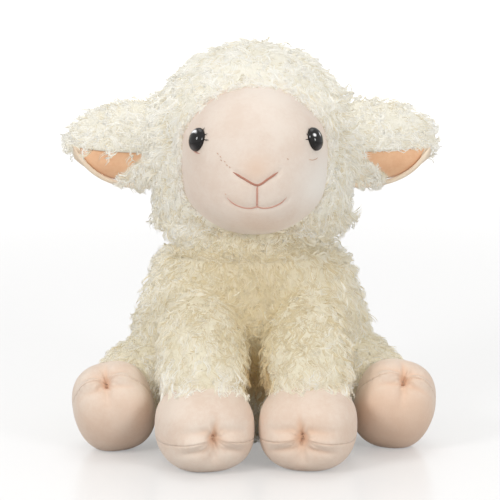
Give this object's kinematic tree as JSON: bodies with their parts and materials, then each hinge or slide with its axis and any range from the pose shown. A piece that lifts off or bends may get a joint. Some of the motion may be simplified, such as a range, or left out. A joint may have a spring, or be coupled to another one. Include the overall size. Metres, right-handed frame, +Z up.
{
  "type": "plush sheep",
  "caption": "Seated plush sheep with a curly fleece coat, velour face and feet, folded ears, and soft seams at the neck, ears, legs and tail.",
  "frame": {"origin": "on the surface it sits on, under the middle of the neck", "axes": "+Z up, the sheep faces -Y, +X towards its left side"},
  "size_m": [0.2586, 0.2271, 0.28],
  "materials": {
    "cream_fleece": "long curly pile, matt",
    "blush_velour": "short dense pile, matt",
    "apricot_velour": "short dense pile, matt",
    "polyester_fibre": "loose fibre",
    "bag_cotton": "plain weave",
    "black_eye": "polished",
    "white_washer": "moulded",
    "rose_thread": "embroidery thread",
    "blush_thread": "sewing thread"
  },
  "bodies": {
    "body": {"body_skin": "cream_fleece", "body_filling": "polyester_fibre", "seat_pellet_bag": "bag_cotton"},
    "neck": {"neck_filling": "polyester_fibre"},
    "head": {"head_skin": "cream_fleece", "head_filling": "polyester_fibre", "face_panel": "blush_velour", "eye_left": "black_eye", "eye_right": "black_eye", "eye_washer_left": "white_washer", "eye_washer_right": "white_washer", "nose_thread": "rose_thread", "lip_thread": "rose_thread", "mouth_thread": "rose_thread"},
    "ear_left": {"ear_back_left": "cream_fleece", "ear_lining_left": "apricot_velour"},
    "ear_right": {"ear_back_right": "cream_fleece", "ear_lining_right": "apricot_velour"},
    "foreleg_left": {"foreleg_skin_left": "cream_fleece", "foreleg_filling_left": "polyester_fibre", "forefoot_upper_left": "blush_velour", "forefoot_sole_left": "blush_velour", "forefoot_toe_thread_left": "blush_thread"},
    "foreleg_right": {"foreleg_skin_right": "cream_fleece", "foreleg_filling_right": "polyester_fibre", "forefoot_upper_right": "blush_velour", "forefoot_sole_right": "blush_velour", "forefoot_toe_thread_right": "blush_thread"},
    "hind_leg_left": {"hind_leg_skin_left": "cream_fleece", "hind_leg_filling_left": "polyester_fibre", "hind_foot_upper_left": "blush_velour", "hind_foot_sole_left": "blush_velour", "hind_foot_toe_thread_left": "blush_thread"},
    "hind_leg_right": {"hind_leg_skin_right": "cream_fleece", "hind_leg_filling_right": "polyester_fibre", "hind_foot_upper_right": "blush_velour", "hind_foot_sole_right": "blush_velour", "hind_foot_toe_thread_right": "blush_thread"},
    "tail": {"tail_skin": "cream_fleece", "tail_filling": "polyester_fibre"}
  },
  "joints": [
    {"name": "neck_turn", "type": "hinge", "parent": "body", "child": "neck", "pos_m": [0, 0, 0.138], "axis": [0, 0, 1], "range_deg": [-30, 30], "stiffness_Nm_per_rad": 0.6},
    {"name": "head_nod", "type": "hinge", "parent": "neck", "child": "head", "pos_m": [0, 0, 0.138], "axis": [1, 0, 0], "range_deg": [-8, 8], "stiffness_Nm_per_rad": 1.5},
    {"name": "ear_left_flap", "type": "hinge", "parent": "head", "child": "ear_left", "pos_m": [0.06497, -0.009, 0.20843], "axis": [0, 1, 0], "range_deg": [-10, 16], "stiffness_Nm_per_rad": 0.06},
    {"name": "ear_right_flap", "type": "hinge", "parent": "head", "child": "ear_right", "pos_m": [-0.06497, -0.009, 0.20843], "axis": [0, -1, 0], "range_deg": [-10, 16], "stiffness_Nm_per_rad": 0.06},
    {"name": "foreleg_left_swing", "type": "hinge", "parent": "body", "child": "foreleg_left", "pos_m": [0.0355, -0.03083, 0.094], "axis": [-1, 0, 0], "range_deg": [0, 30], "stiffness_Nm_per_rad": 0.3},
    {"name": "foreleg_right_swing", "type": "hinge", "parent": "body", "child": "foreleg_right", "pos_m": [-0.0355, -0.03083, 0.094], "axis": [-1, 0, 0], "range_deg": [0, 30], "stiffness_Nm_per_rad": 0.3},
    {"name": "hind_leg_left_spread", "type": "hinge", "parent": "body", "child": "hind_leg_left", "pos_m": [0.06352, 0.014, 0.042], "axis": [0, 0, 1], "range_deg": [0, 25], "stiffness_Nm_per_rad": 0.3},
    {"name": "hind_leg_right_spread", "type": "hinge", "parent": "body", "child": "hind_leg_right", "pos_m": [-0.06352, 0.014, 0.042], "axis": [0, 0, -1], "range_deg": [0, 25], "stiffness_Nm_per_rad": 0.3},
    {"name": "tail_lift", "type": "hinge", "parent": "body", "child": "tail", "pos_m": [0, 0.06909, 0.05], "axis": [1, 0, 0], "range_deg": [0, 30], "stiffness_Nm_per_rad": 0.04}
  ]
}
